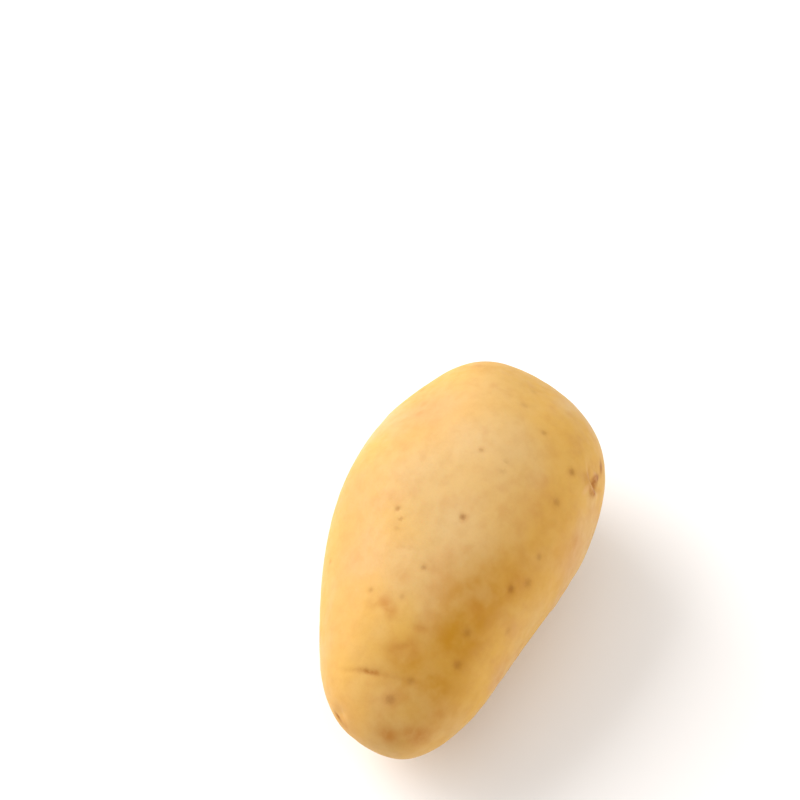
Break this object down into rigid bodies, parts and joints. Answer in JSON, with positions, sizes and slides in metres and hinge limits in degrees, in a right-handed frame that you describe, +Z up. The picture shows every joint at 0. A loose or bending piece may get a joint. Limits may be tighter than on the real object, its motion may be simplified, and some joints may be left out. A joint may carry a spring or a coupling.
{
  "type": "potato",
  "caption": "Washed pale-yellow potato, a long oval with one narrow end, shallow eyes, a stem scar and fine brown lenticels",
  "frame": {"origin": "middle of the bounding box in X and Y, on the surface the potato rests on", "axes": "+X along the tuber from the narrow stem end to the wide bud end, +Z up from the resting surface"},
  "size_m": [0.105, 0.0596, 0.0528],
  "materials": {
    "skin": "satin, thin pale-yellow skin with fine brown lenticels and darker eyes"
  },
  "bodies": {
    "root": {"potato": "skin"}
  },
  "joints": []
}
